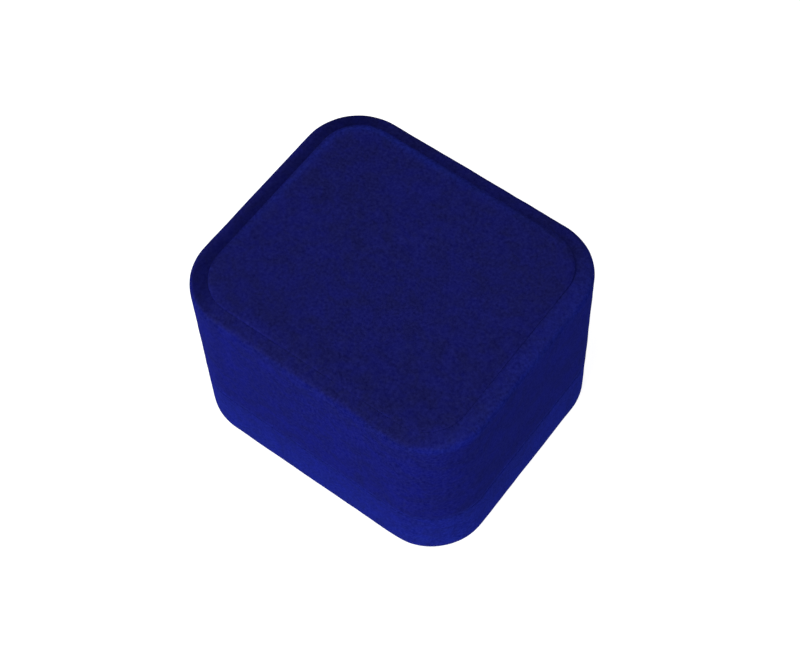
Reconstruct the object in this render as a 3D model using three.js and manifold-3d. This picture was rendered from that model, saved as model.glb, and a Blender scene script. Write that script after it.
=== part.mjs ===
// A velvet-covered ring box with a snap hinge, in millimetres.
// The origin is the centre of the underside: +X runs along the hinge, to the right as seen from the front,
// +Y runs to the hinge at the back, and +Z points up. The box is modelled shut.

import * as THREE from 'three';
import { mergeVertices } from 'three/addons/utils/BufferGeometryUtils.js';
import Module from 'manifold-3d';

const wasm = await Module();
wasm.setup();

// ---------- driving dimensions ----------

const WIDTH = 58; // outside, along X
const DEPTH = 50; // outside, along Y
const CORNER = 11; // plan radius of the upright corners
const SEAM_Z = 12.2; // middle of the seam between base and lid
const SEAM_GAP = 0.3;
const RIM_Z = 38.9; // top of the folded rim
const TOP_Z = 40; // top of the padded panel
const LID_DRAFT = 0.1; // how far the lid's walls lean in over their height
const PANEL_SIDE_INSET = 3.5; // from the rim's outer edge to the padded panel, at its two sides
const PANEL_FRONT_INSET = 2.95; // the same at the front and the back
const PANEL_CORNER = 7.6; // plan radius of the panel's corners
const RIM_ROUND = 1.3; // rounding of the rim's outer edge
const PANEL_ROUND = 0.9; // rounding of the padded panel's edge
const FOOT_ROUND = 0.9; // rounding of the base's lower edge
const FOOT_Z = 0.2; // the folded velvet stays this far above the table

const CLOTH = 0.7; // velvet with its backing
const GLUE = 0.1; // room between two glued pieces
const WALL = 1.5; // moulded shells
const FOLD = 5.5; // how far the velvet is folded in over the top and under the base

const HINGE_Y = 23.5; // hinge axis, at the height of the seam
const HINGE_BEVEL = 50; // degrees of each bevel behind the axis
const LEAF_HALF = 13; // half the length of the hinge leaves
const LEAF_SHEET = 0.4;
const LEAF_Y = 22.65; // front face of the leaves
const LEAF_REACH = 8.4; // from the axis to the far edge of each leaf
const LEAF_POCKET = 3; // the walls are cut away this far in front of the leaves
const KNUCKLE_R = 1.15;
const KNUCKLES = 5;
const PIN_R = 0.5;
const PIN_HEAD = 0.4; // thickness of the pin's two heads
const PIN_HEAD_R = 0.85;
const RUNNING_GAP = 0.3; // round the pin, round the barrel and between knuckles

const RIVET_X = 9;
const RIVET_DROP = 5.4; // from the axis to the rivets
const RIVET_R = 0.5;
const RIVET_HEAD_R = 1.1;
const RIVET_HEAD = 0.4;
const RIVET_BITE = 0.9; // how far the rivets reach into the wall
const SPRING_HALF = 3; // half the width of the spring tongue
const SPRING_SHEET = 0.25;
const SPRING_FOOT = 4; // its lower end is straight up to this far below the axis
const SPRING_TIP = 0.9; // its upper end, above the axis
const SPRING_BEND = 2; // the middle of its bow, below the axis

const COLLAR_GAP = 0.45; // between the collar and the lid's inside
const COLLAR_BACK_Y = 21.2; // the collar keeps clear of the rivets and spring behind it
const COLLAR_TOP = 14.8;
const COLLAR_CARD = 0.8;
const COLLAR_CLOTH = 0.5;

const CARD = 0.7; // loose cards
const PAD_TOP = 13.7;
const PAD_CLOTH = 0.6;
const PAD_CORNER = 3.6; // plan radius of the pads' corners at the slot
const PAD_ROUND = 2.4; // rounding of their upper edges
const RING_SLOT = 0.8; // the slot that grips the ring

const LINING_CLOTH = 0.5;
const LINING_BOTTOM = 15.8; // the wall lining starts above the collar
const CEILING_PAD = 2.4; // thickness of the satin pad
const CEILING_ROUND = 1; // rounding of the satin pad's edge
const LEAF_WINDOW = 1; // room beside the hinge leaf in the wall lining

const LEAST_CORNER = 1; // no inner outline has a smaller plan radius
const OVERCUT = 1; // cutting solids pass a face by this much
const ARC_DIVISIONS = 4; // an arc has twice as many segments
const ROUND_SEGMENTS = 2; // across a rounded edge
const PIN_SEGMENTS = 16;

// Heights and insets that follow from them.
const BASE_TOP = SEAM_Z - SEAM_GAP / 2;
const LID_BOTTOM = SEAM_Z + SEAM_GAP / 2;
const SHELL_INSET = CLOTH + GLUE;
const INSIDE_INSET = SHELL_INSET + WALL;
const TRAY_Z = FOOT_Z + CLOTH + GLUE;
const FLOOR_Z = TRAY_Z + WALL;
const SHELL_TOP = RIM_Z - CLOTH - GLUE;
const CEILING_Z = SHELL_TOP - WALL;
const COLLAR_INSET = INSIDE_INSET + COLLAR_GAP;

// ---------- materials ----------

const finish = (color, roughness, metalness = 0) =>
  new THREE.MeshStandardMaterial({ color, roughness, metalness });

const velvet = () => finish(0x0c0e6e, 0.95);
const satin = () => finish(0xece8df, 0.45);
const plastic = () => finish(0x20222c, 0.5);
const card = () => finish(0xb9b2a3, 0.9);
const foam = () => finish(0xd9d6cc, 1);
const steel = () => finish(0xb8bbc0, 0.35, 1);

// ---------- tools for solids ----------

function solidFrom(geometry) {
  const bare = geometry.index ? geometry.toNonIndexed() : geometry.clone();
  bare.deleteAttribute('normal');
  bare.deleteAttribute('uv');
  const merged = mergeVertices(bare, 1e-4);
  const mesh = new wasm.Mesh({
    numProp: 3,
    vertProperties: merged.attributes.position.array,
    triVerts: new Uint32Array(merged.index.array),
  });
  return new wasm.Manifold(mesh);
}

function geometryFrom(solid) {
  const { vertProperties, triVerts } = solid.getMesh();
  const geometry = new THREE.BufferGeometry();
  geometry.setAttribute('position', new THREE.BufferAttribute(vertProperties, 3));
  geometry.setIndex(new THREE.BufferAttribute(triVerts, 1));
  return geometry;
}

function block([x0, x1], [y0, y1], [z0, z1]) {
  const geometry = new THREE.BoxGeometry(x1 - x0, y1 - y0, z1 - z0);
  geometry.translate((x0 + x1) / 2, (y0 + y1) / 2, (z0 + z1) / 2);
  return solidFrom(geometry);
}

// Rounded rectangle in plan, between two points on each axis.
function rectangle([x0, x1], [y0, y1], radius) {
  const shape = new THREE.Shape();
  shape.absarc(x1 - radius, y0 + radius, radius, -Math.PI / 2, 0);
  shape.absarc(x1 - radius, y1 - radius, radius, 0, Math.PI / 2);
  shape.absarc(x0 + radius, y1 - radius, radius, Math.PI / 2, Math.PI);
  shape.absarc(x0 + radius, y0 + radius, radius, Math.PI, Math.PI * 1.5);
  return shape;
}

// The box's own outline moved in by inset. backY moves the back edge only.
function outline(inset, backY = DEPTH / 2 - inset) {
  const side = WIDTH / 2 - inset;
  return rectangle([-side, side], [inset - DEPTH / 2, backY], Math.max(CORNER - inset, LEAST_CORNER));
}

// Upright prism of a plan shape. roundTop and roundBottom round the edges of its ends.
function prism(shape, lowZ, highZ, { roundTop = 0, roundBottom = 0 } = {}) {
  const round = Math.max(roundTop, roundBottom);
  const spare = round * 2; // a rounded end that is cut off again
  const start = roundBottom ? lowZ : lowZ - spare;
  const end = roundTop ? highZ : highZ + spare;
  const geometry = new THREE.ExtrudeGeometry(shape, {
    depth: end - start - 2 * round,
    curveSegments: ARC_DIVISIONS,
    bevelEnabled: round > 0,
    bevelThickness: round,
    bevelSize: round,
    bevelOffset: -round,
    bevelSegments: ROUND_SEGMENTS,
  });
  geometry.translate(0, 0, start + round);
  if (!round) return solidFrom(geometry);
  const kept = block([-WIDTH, WIDTH], [-DEPTH, DEPTH], [lowZ, highZ]);
  return solidFrom(geometry).intersect(kept);
}

// The lid's prisms lean in by LID_DRAFT from the seam to the rim.
function leaned(solid) {
  const geometry = geometryFrom(solid);
  const at = geometry.attributes.position;
  for (let i = 0; i < at.count; i += 1) {
    const lean = (LID_DRAFT * (at.getZ(i) - SEAM_Z)) / (RIM_Z - SEAM_Z);
    at.setX(i, at.getX(i) * (1 - lean / (WIDTH / 2)));
    at.setY(i, at.getY(i) * (1 - lean / (DEPTH / 2)));
  }
  return solidFrom(geometry);
}

// Rod along X on the hinge axis, or along Y where turned.
function rodX(radius, [x0, x1]) {
  const geometry = new THREE.CylinderGeometry(radius, radius, x1 - x0, PIN_SEGMENTS);
  geometry.rotateZ(Math.PI / 2);
  geometry.translate((x0 + x1) / 2, HINGE_Y, SEAM_Z);
  return solidFrom(geometry);
}

function rodY(radius, x, [y0, y1], z) {
  const geometry = new THREE.CylinderGeometry(radius, radius, y1 - y0, PIN_SEGMENTS);
  geometry.translate(0, (y0 + y1) / 2, 0);
  geometry.translate(x, 0, z);
  return solidFrom(geometry);
}

// ---------- room for the hinge ----------

// Wedge that is open to the back: the walls behind the axis are bevelled, so that the lid can swing over.
// side is 1 above the seam and -1 below it; depth moves the bevel into the wall, under the cloth.
function bevelCut(side, depth) {
  const slope = Math.tan((HINGE_BEVEL * Math.PI) / 180);
  const shift = depth / Math.cos((HINGE_BEVEL * Math.PI) / 180);
  const seam = SEAM_Z + (side * SEAM_GAP) / 2;
  const length = DEPTH / 2 + OVERCUT - HINGE_Y;
  const section = new THREE.Shape();
  section.moveTo(HINGE_Y - shift / slope, seam);
  section.lineTo(HINGE_Y + length, seam);
  section.lineTo(HINGE_Y + length, seam + side * (length * slope + shift));
  section.closePath();
  const seamCut = [seam - OVERCUT / 2, seam + OVERCUT / 2];
  const beyond = block([-WIDTH, WIDTH], [HINGE_Y - shift / slope, DEPTH], seamCut);
  return alongX(section, WIDTH).add(beyond);
}

// Extrusion of a shape drawn in Y and Z, from -half to half along X.
function alongX(section, half) {
  const geometry = new THREE.ExtrudeGeometry(section, {
    depth: 2 * half,
    curveSegments: ARC_DIVISIONS,
    bevelEnabled: false,
  });
  geometry.translate(0, 0, -half);
  geometry.rotateX(Math.PI / 2);
  geometry.rotateZ(Math.PI / 2);
  return solidFrom(geometry);
}

// Notch for the barrel, with running room all round it.
function barrelRoom() {
  const end = LEAF_HALF + PIN_HEAD + 2 * RUNNING_GAP;
  return rodX(KNUCKLE_R + RUNNING_GAP, [-end, end]);
}

// Pocket in the back wall that the leaf lies in, and the holes for its rivets.
function leafRoom(side) {
  const far = SEAM_Z + side * (LEAF_REACH + RUNNING_GAP);
  const pocket = block(
    [-LEAF_HALF - RUNNING_GAP, LEAF_HALF + RUNNING_GAP],
    [LEAF_Y - LEAF_POCKET, LEAF_Y + LEAF_SHEET + GLUE],
    [Math.min(far, SEAM_Z), Math.max(far, SEAM_Z)],
  );
  return rivetHoles(side).reduce((room, hole) => room.add(hole), pocket);
}

function rivetHoles(side) {
  const z = SEAM_Z + side * RIVET_DROP;
  const places = side < 0 ? [-RIVET_X, 0, RIVET_X] : [-RIVET_X, RIVET_X];
  const span = [LEAF_Y - LEAF_POCKET, DEPTH / 2 - SHELL_INSET + GLUE / 2];
  return places.map((x) => rodY(RIVET_R + RUNNING_GAP / 2, x, span, z));
}

// ---------- base ----------

function baseOuter(inset, lowZ, highZ) {
  const solid = prism(outline(inset), lowZ, highZ, { roundBottom: FOOT_ROUND - inset / 2 });
  return solid.subtract(bevelCut(-1, inset)).subtract(barrelRoom());
}

function baseShell() {
  const outside = baseOuter(SHELL_INSET, TRAY_Z, BASE_TOP - CLOTH - GLUE);
  const hollow = prism(outline(INSIDE_INSET), FLOOR_Z, SEAM_Z + OVERCUT);
  return outside.subtract(hollow).subtract(leafRoom(-1));
}

function baseVelvetWrap() {
  const outside = baseOuter(0, FOOT_Z, BASE_TOP);
  const round = { roundBottom: FOOT_ROUND - CLOTH / 2 };
  const tray = prism(outline(CLOTH), FOOT_Z + CLOTH, BASE_TOP - CLOTH, round);
  const mouth = prism(outline(INSIDE_INSET), BASE_TOP - 2 * CLOTH, SEAM_Z + OVERCUT);
  const under = prism(outline(FOLD), -OVERCUT, FOOT_Z + 2 * CLOTH);
  return outside.subtract(tray.subtract(bevelCut(-1, CLOTH))).subtract(mouth).subtract(under);
}

function baseBottomCover() {
  return prism(outline(FOLD + RUNNING_GAP), 0, FOOT_Z + CLOTH);
}

function collarRing(inset, thickness, topZ) {
  const ring = prism(outline(inset, COLLAR_BACK_Y - (inset - COLLAR_INSET)), FLOOR_Z + GLUE, topZ);
  const innerInset = inset + thickness;
  const inner = outline(innerInset, COLLAR_BACK_Y - (innerInset - COLLAR_INSET));
  return ring.subtract(prism(inner, 0, topZ + OVERCUT));
}

function collarFrame() {
  return collarRing(COLLAR_INSET + COLLAR_CLOTH + GLUE, COLLAR_CARD, COLLAR_TOP - COLLAR_CLOTH - GLUE);
}

// The collar's cloth covers both faces of the card and its top edge.
function collarVelvet() {
  const whole = collarRing(COLLAR_INSET, COLLAR_CARD + 2 * (COLLAR_CLOTH + GLUE), COLLAR_TOP);
  const room = collarRing(COLLAR_INSET + COLLAR_CLOTH, COLLAR_CARD + 2 * GLUE, COLLAR_TOP - COLLAR_CLOTH);
  return whole.subtract(room.add(room.translate(0, 0, -2 * OVERCUT)));
}

// ---------- ring insert ----------

const INSERT_INSET = COLLAR_INSET + COLLAR_CARD + 2 * (COLLAR_CLOTH + GLUE) + RUNNING_GAP;
const INSERT_BACK = COLLAR_BACK_Y - (INSERT_INSET - COLLAR_INSET);
const INSERT_FRONT = INSERT_INSET - DEPTH / 2;
const SLOT_Y = (INSERT_FRONT + INSERT_BACK) / 2;
const INSERT_Z = FLOOR_Z + 2 * GLUE;

function insertCard() {
  return prism(outline(INSERT_INSET, INSERT_BACK), INSERT_Z, INSERT_Z + CARD);
}

// One of the two ring pads, moved in by inset. side is -1 for the front pad and 1 for the rear one.
function padBlock(side, inset, lowZ) {
  const halfX = WIDTH / 2 - INSERT_INSET - inset;
  const slotSide = SLOT_Y + side * (RING_SLOT / 2 + inset);
  const wallSide = side < 0 ? INSERT_FRONT + inset : INSERT_BACK - inset;
  const ys = [Math.min(slotSide, wallSide), Math.max(slotSide, wallSide)];
  const shape = rectangle([-halfX, halfX], ys, PAD_CORNER - inset);
  const pad = prism(shape, lowZ, PAD_TOP - inset, { roundTop: PAD_ROUND - inset });
  return pad.intersect(prism(outline(INSERT_INSET + inset, INSERT_BACK - inset), lowZ, PAD_TOP));
}

function insertVelvet(side) {
  const lowZ = INSERT_Z + CARD + GLUE;
  const foamRoom = padBlock(side, PAD_CLOTH, lowZ - OVERCUT);
  return padBlock(side, 0, lowZ).subtract(foamRoom);
}

function insertFoam(side) {
  return padBlock(side, PAD_CLOTH + GLUE, INSERT_Z + CARD + GLUE);
}

// ---------- lid ----------

function lidOuter(inset, lowZ, highZ) {
  const solid = leaned(prism(outline(inset), lowZ, highZ, { roundTop: RIM_ROUND - inset / 2 }));
  return solid.subtract(bevelCut(1, inset)).subtract(barrelRoom());
}

function lidShell() {
  const outside = lidOuter(SHELL_INSET, LID_BOTTOM + CLOTH + GLUE, SHELL_TOP);
  const hollow = leaned(prism(outline(INSIDE_INSET), SEAM_Z - OVERCUT, CEILING_Z));
  return outside.subtract(hollow).subtract(leafRoom(1));
}

function lidVelvetWrap() {
  const outside = lidOuter(0, LID_BOTTOM, RIM_Z);
  const round = { roundTop: RIM_ROUND - CLOTH / 2 };
  const shell = leaned(prism(outline(CLOTH), LID_BOTTOM + CLOTH, RIM_Z - CLOTH, round));
  const mouth = leaned(prism(outline(INSIDE_INSET), SEAM_Z - OVERCUT, LID_BOTTOM + 2 * CLOTH));
  const recess = prism(outline(FOLD), RIM_Z - 2 * CLOTH, RIM_Z + OVERCUT);
  return outside.subtract(shell.subtract(bevelCut(1, CLOTH))).subtract(mouth).subtract(recess);
}

function lidTopCard() {
  return prism(outline(FOLD + RUNNING_GAP), RIM_Z - CLOTH, RIM_Z - GLUE);
}

function lidTopVelvet() {
  const halfX = WIDTH / 2 - LID_DRAFT - PANEL_SIDE_INSET;
  const halfY = DEPTH / 2 - LID_DRAFT - PANEL_FRONT_INSET;
  const shape = rectangle([-halfX, halfX], [-halfY, halfY], PANEL_CORNER);
  return prism(shape, RIM_Z, TOP_Z, { roundTop: PANEL_ROUND });
}

// ---------- lid lining ----------

const LINING_INSET = INSIDE_INSET + GLUE;
const PAD_INSET = LINING_INSET + LID_DRAFT + LINING_CLOTH + RUNNING_GAP;
const LINING_CARD_Z = CEILING_Z - GLUE - CARD;
const CEILING_PAD_Z = LINING_CARD_Z - GLUE - CEILING_PAD;

function lidLiningCard() {
  return prism(outline(PAD_INSET), LINING_CARD_Z, LINING_CARD_Z + CARD);
}

// Satin cover of the ceiling pad: a shallow tray, open to the card above it.
function lidLiningSatin() {
  const top = LINING_CARD_Z - GLUE;
  const outside = prism(outline(PAD_INSET), CEILING_PAD_Z, top, { roundBottom: CEILING_ROUND });
  const inset = PAD_INSET + LINING_CLOTH;
  const round = { roundBottom: CEILING_ROUND - 2 * GLUE };
  const room = prism(outline(inset), CEILING_PAD_Z + LINING_CLOTH, top + OVERCUT, round);
  return outside.subtract(room);
}

function lidLiningWadding() {
  const inset = PAD_INSET + LINING_CLOTH + GLUE;
  const lowZ = CEILING_PAD_Z + LINING_CLOTH + GLUE;
  return prism(outline(inset), lowZ, LINING_CARD_Z - GLUE, { roundBottom: CEILING_ROUND - 2 * GLUE });
}

// Satin strip round the inside of the wall, cut away in front of the hinge leaf.
function lidLiningWall() {
  const top = CEILING_Z - GLUE;
  const outside = leaned(prism(outline(LINING_INSET), LINING_BOTTOM, top));
  const inside = leaned(prism(outline(LINING_INSET + LINING_CLOTH), LINING_BOTTOM - OVERCUT, top + OVERCUT));
  const half = LEAF_HALF + LEAF_WINDOW;
  const leafTop = SEAM_Z + LEAF_REACH + 2 * RUNNING_GAP;
  const opening = block([-half, half], [LEAF_Y - LEAF_POCKET, HINGE_Y], [LINING_BOTTOM - OVERCUT, leafTop]);
  return outside.subtract(inside).subtract(opening);
}

// ---------- hinge ----------

// Ends along X of one of the barrel's knuckles, with a running gap to the next one.
function knuckleSpan(index, extra = 0) {
  const pitch = (2 * LEAF_HALF) / KNUCKLES;
  const start = -LEAF_HALF + index * pitch;
  return [start + RUNNING_GAP / 2 - extra, start + pitch - RUNNING_GAP / 2 + extra];
}

// Leaf above the axis (side 1) or below it (side -1). The base's leaf has the first, third and last knuckle.
function hingeLeaf(side) {
  const isOwn = (index) => (index % 2 === 0) === (side < 0);
  const far = SEAM_Z + side * LEAF_REACH;
  const sheet = [LEAF_Y, LEAF_Y + LEAF_SHEET];
  const half = LEAF_HALF - RUNNING_GAP / 2;
  let leaf = block([-half, half], sheet, [Math.min(far, SEAM_Z), Math.max(far, SEAM_Z)]);
  for (let index = 0; index < KNUCKLES; index += 1) {
    if (isOwn(index)) leaf = leaf.add(rodX(KNUCKLE_R, knuckleSpan(index)));
    else leaf = leaf.subtract(rodX(KNUCKLE_R + RUNNING_GAP, knuckleSpan(index, RUNNING_GAP)));
  }
  leaf = leaf.subtract(rodX(PIN_R + RUNNING_GAP / 2, [-LEAF_HALF - OVERCUT, LEAF_HALF + OVERCUT]));
  return rivetHoles(side).reduce((cut, hole) => cut.subtract(hole), leaf);
}

function hingePin() {
  const end = LEAF_HALF + GLUE;
  return rodX(PIN_R, [-end - PIN_HEAD / 2, end + PIN_HEAD / 2])
    .add(rodX(PIN_HEAD_R, [-end - PIN_HEAD, -end]))
    .add(rodX(PIN_HEAD_R, [end, end + PIN_HEAD]));
}

function rivet(x, side) {
  const z = SEAM_Z + side * RIVET_DROP;
  const front = x === 0 ? LEAF_Y - SPRING_SHEET - 2 * GLUE : LEAF_Y - GLUE / 2;
  const shank = rodY(RIVET_R, x, [front - RIVET_HEAD / 2, DEPTH / 2 - INSIDE_INSET + RIVET_BITE], z);
  return shank.add(rodY(RIVET_HEAD_R, x, [front - RIVET_HEAD, front], z));
}

// Bowed tongue, riveted to the base's leaf, whose upper end bears on the lid's knuckles.
function hingeSpring() {
  const foot = SEAM_Z - LEAF_REACH + OVERCUT;
  const straight = SEAM_Z - SPRING_FOOT;
  const bend = SEAM_Z - SPRING_BEND;
  const tip = SEAM_Z + SPRING_TIP;
  const back = LEAF_Y - GLUE;
  const bow = HINGE_Y - KNUCKLE_R - 1.5 * RUNNING_GAP;
  const section = new THREE.Shape();
  section.moveTo(back, foot);
  section.lineTo(back, straight);
  section.quadraticCurveTo(back - GLUE, bend, bow, tip);
  section.lineTo(bow - SPRING_SHEET, tip);
  section.quadraticCurveTo(back - GLUE - SPRING_SHEET, bend, back - SPRING_SHEET, straight);
  section.lineTo(back - SPRING_SHEET, foot);
  section.closePath();
  const hole = rodY(RIVET_R + RUNNING_GAP / 2, 0, [back - OVERCUT, back + OVERCUT], SEAM_Z - RIVET_DROP);
  return alongX(section, SPRING_HALF).subtract(hole);
}

// ---------- the box ----------

function piece(name, solid, material) {
  const geometry = geometryFrom(solid);
  geometry.computeVertexNormals();
  const mesh = new THREE.Mesh(geometry, material);
  mesh.name = name;
  return mesh;
}

const base = new THREE.Group();
base.name = 'base';
base.add(
  piece('base_shell', baseShell(), plastic()),
  piece('base_velvet_wrap', baseVelvetWrap(), velvet()),
  piece('base_bottom_cover', baseBottomCover(), velvet()),
  piece('collar_frame', collarFrame(), card()),
  piece('collar_velvet', collarVelvet(), velvet()),
  piece('insert_card', insertCard(), card()),
  piece('insert_foam_front', insertFoam(-1), foam()),
  piece('insert_foam_rear', insertFoam(1), foam()),
  piece('insert_velvet_front', insertVelvet(-1), velvet()),
  piece('insert_velvet_rear', insertVelvet(1), velvet()),
  piece('base_hinge_leaf', hingeLeaf(-1), steel()),
  piece('hinge_pin', hingePin(), steel()),
  piece('hinge_spring', hingeSpring(), steel()),
  piece('base_rivet_left', rivet(-RIVET_X, -1), steel()),
  piece('base_rivet_right', rivet(RIVET_X, -1), steel()),
  piece('spring_rivet', rivet(0, -1), steel()),
);

const lid = new THREE.Group();
lid.name = 'lid';
lid.add(
  piece('lid_shell', lidShell(), plastic()),
  piece('lid_velvet_wrap', lidVelvetWrap(), velvet()),
  piece('lid_top_card', lidTopCard(), card()),
  piece('lid_top_velvet', lidTopVelvet(), velvet()),
  piece('lid_lining_card', lidLiningCard(), card()),
  piece('lid_lining_wadding', lidLiningWadding(), foam()),
  piece('lid_lining_satin', lidLiningSatin(), satin()),
  piece('lid_lining_wall', lidLiningWall(), satin()),
  piece('lid_hinge_leaf', hingeLeaf(1), steel()),
  piece('lid_rivet_left', rivet(-RIVET_X, 1), steel()),
  piece('lid_rivet_right', rivet(RIVET_X, 1), steel()),
);

const ringBox = new THREE.Group();
ringBox.name = 'ring_box';
ringBox.add(base, lid);

export default ringBox;
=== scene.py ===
"""Velvet ring box: the visual model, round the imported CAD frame. Lengths are in metres unless named mm."""

import math

import bmesh
import bpy
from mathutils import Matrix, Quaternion, Vector, noise
from mathutils.bvhtree import BVHTree


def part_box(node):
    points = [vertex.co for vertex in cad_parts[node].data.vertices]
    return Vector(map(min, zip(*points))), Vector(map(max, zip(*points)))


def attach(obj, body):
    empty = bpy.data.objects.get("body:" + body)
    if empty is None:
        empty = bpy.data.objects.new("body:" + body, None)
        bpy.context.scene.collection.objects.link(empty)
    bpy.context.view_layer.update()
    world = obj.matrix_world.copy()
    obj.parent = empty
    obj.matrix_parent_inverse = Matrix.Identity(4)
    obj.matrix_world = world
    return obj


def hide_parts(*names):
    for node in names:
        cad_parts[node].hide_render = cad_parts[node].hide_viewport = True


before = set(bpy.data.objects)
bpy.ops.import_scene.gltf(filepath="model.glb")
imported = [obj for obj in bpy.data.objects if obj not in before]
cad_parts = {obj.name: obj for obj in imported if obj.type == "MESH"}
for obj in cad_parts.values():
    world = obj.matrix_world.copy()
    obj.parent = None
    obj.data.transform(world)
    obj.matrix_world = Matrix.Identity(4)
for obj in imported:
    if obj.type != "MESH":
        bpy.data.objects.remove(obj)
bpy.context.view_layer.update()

MM = 0.001

# ---------- sizes, from the frame ----------

LID_LOW, LID_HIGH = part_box("lid_velvet_wrap")
BASE_LOW, BASE_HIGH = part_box("base_velvet_wrap")
PANEL_LOW, PANEL_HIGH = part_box("lid_top_velvet")
COLLAR_LOW, COLLAR_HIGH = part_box("collar_velvet")
SATIN_LOW, SATIN_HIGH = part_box("lid_lining_satin")
STRIP_LOW, STRIP_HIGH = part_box("lid_lining_wall")
COVER_LOW, COVER_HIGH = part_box("base_bottom_cover")
LEAF_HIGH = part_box("lid_hinge_leaf")[1]
PIN_LOW, PIN_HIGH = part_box("hinge_pin")

HALF_X, HALF_Y = LID_HIGH.x, LID_HIGH.y
CORNER = 11 * MM  # plan radius of the upright corners
CLOTH = 0.7 * MM  # velvet with its backing
LID_LEAN = 0.1 * MM  # the lid's walls lean in this far up to the rim
SEAM_Z = (BASE_HIGH.z + LID_LOW.z) / 2
SHELL_INSIDE = 2.3 * MM  # from the outside of the cloth to the inside of the moulded wall
FOLD = 5.5 * MM  # the velvet is folded in this far over the top and under the base

HINGE_Y = (PIN_LOW.y + PIN_HIGH.y) / 2
BARREL_ROOM = 1.45 * MM  # radius of the notch round the barrel
NOTCH_HALF = PIN_HIGH.x + 0.5 * MM  # half its length
NOTCH_END = 0.9 * MM  # length over which it runs out
BEVEL_SLOPE = math.tan(math.radians(50))  # the cloth behind the axis keeps clear of the opening lid

# ---------- camera ----------

AZIMUTH, ELEVATION, ROLL = 39.5, 60.13, -3.09  # degrees
DISTANCE = 0.3246
AIM = Vector((0.0003, 0.0011, 0.020))
LENS, SENSOR = 83.67, 36.0  # mm


def direction(azimuth, elevation):
    """Unit vector from the box towards a viewer. Azimuth 0 is the front, and 90 the right side."""
    a, e = math.radians(azimuth), math.radians(elevation)
    return Vector((math.sin(a) * math.cos(e), -math.cos(a) * math.cos(e), math.sin(e)))


def make_camera():
    data = bpy.data.cameras.new("camera")
    data.lens, data.sensor_width = LENS, SENSOR
    data.clip_start, data.clip_end = 0.01, 20
    camera = bpy.data.objects.new("camera", data)
    bpy.context.scene.collection.objects.link(camera)
    back = direction(AZIMUTH, ELEVATION)
    camera.location = AIM + back * DISTANCE
    camera.rotation_mode = "QUATERNION"
    roll = Quaternion((0, 0, 1), math.radians(ROLL))
    camera.rotation_quaternion = (-back).to_track_quat("-Z", "Y") @ roll
    bpy.context.scene.camera = camera


# ---------- node materials ----------


class Nodes:
    """A material's node tree, with short calls for the nodes that repeat."""

    def __init__(self, name):
        self.material = bpy.data.materials.new(name)
        self.material.use_nodes = True
        self.tree = self.material.node_tree
        self.shader = self.tree.nodes["Principled BSDF"]
        self.place = self.tree.nodes.new("ShaderNodeTexCoord").outputs["Object"]

    def set(self, **values):
        for key, value in values.items():
            self.shader.inputs[key.replace("_", " ")].default_value = value

    def link(self, output, name):
        self.tree.links.new(output, self.shader.inputs[name])

    def node(self, kind, inputs=(), **settings):
        made = self.tree.nodes.new(kind)
        for key, value in settings.items():
            setattr(made, key, value)
        for key, value in dict(inputs).items():
            if isinstance(value, bpy.types.NodeSocket):
                self.tree.links.new(value, made.inputs[key])
            else:
                made.inputs[key].default_value = value
        return made

    def noise(self, size_mm, detail=2.0, roughness=0.5, distortion=0.0, place=None):
        """Noise with features of about that size, from 0 to 1."""
        inputs = {
            "Vector": place or self.place,
            "Scale": 1000.0 / size_mm,
            "Detail": detail,
            "Roughness": roughness,
            "Distortion": distortion,
        }
        return self.node("ShaderNodeTexNoise", inputs).outputs["Fac"]

    def stretched(self, x, y, z):
        """The object's coordinates, scaled along each axis."""
        inputs = {"Vector": self.place, "Scale": (x, y, z)}
        return self.node("ShaderNodeMapping", inputs).outputs["Vector"]

    def ramp(self, value, low, high, to_low=0.0, to_high=1.0):
        inputs = {"Value": value, "From Min": low, "From Max": high, "To Min": to_low, "To Max": to_high}
        return self.node("ShaderNodeMapRange", inputs).outputs["Result"]

    def math(self, operation, a, b):
        return self.node("ShaderNodeMath", {0: a, 1: b}, operation=operation).outputs[0]

    def mix(self, factor, a, b, blend="MIX"):
        made = self.tree.nodes.new("ShaderNodeMix")
        made.data_type, made.blend_type = "RGBA", blend
        for socket, value in zip((made.inputs[0], made.inputs[6], made.inputs[7]), (factor, a, b)):
            if isinstance(value, bpy.types.NodeSocket):
                self.tree.links.new(value, socket)
            else:
                socket.default_value = value if isinstance(value, float) else (*value, 1.0)
        return made.outputs[2]

    def attribute(self, name):
        return self.node("ShaderNodeAttribute", attribute_name=name).outputs["Fac"]

    def upward(self):
        """How far the surface faces up, in the object's own axes, from -1 to 1."""
        normal = self.node("ShaderNodeTexCoord").outputs["Normal"]
        return self.node("ShaderNodeSeparateXYZ", {0: normal}).outputs["Z"]

    def bump(self, height, strength, depth_mm):
        inputs = {"Height": height, "Strength": strength, "Distance": depth_mm * MM}
        self.link(self.node("ShaderNodeBump", inputs).outputs["Normal"], "Normal")


# Linear colours of the velvet's pile.
PILE_DEEP = (0.0004, 0.0007, 0.033)
PILE_LIGHT = (0.0072, 0.0088, 0.072)
PILE_BRUSHED = (0.0, 0.0002, 0.026)  # added in brushed patches
PILE_TOP_SHEEN = (0.0018, 0.0016, 0.0)  # painted sheen: a pale tint added where the cloth faces up
PILE_WEAR_AND_PAINTED_LIGHT = (0.0018, 0.0062, 0.077)  # added where the pile is rubbed, and as painted light on edges and on the base strip
PILE_PAINTED_SHADE = (0.0010, 0.0014, 0.022)  # painted shade: the colour the pile is darkened to
PILE_SHEEN = (0.08, 0.115, 1.0, 1.0)
# Sizes of the velvet's unevenness, in mm.
PILE_GRAIN_MM, PILE_PATCH_MM, PILE_MOTTLE_MM, PILE_NAP_MM = 0.5, 2.2, 2.8, 13.0
LEVEL_FROM, LEVEL_TO = 0.6, 0.95  # the painted sheen grows from none to all as a surface's upward share goes over these


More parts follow.
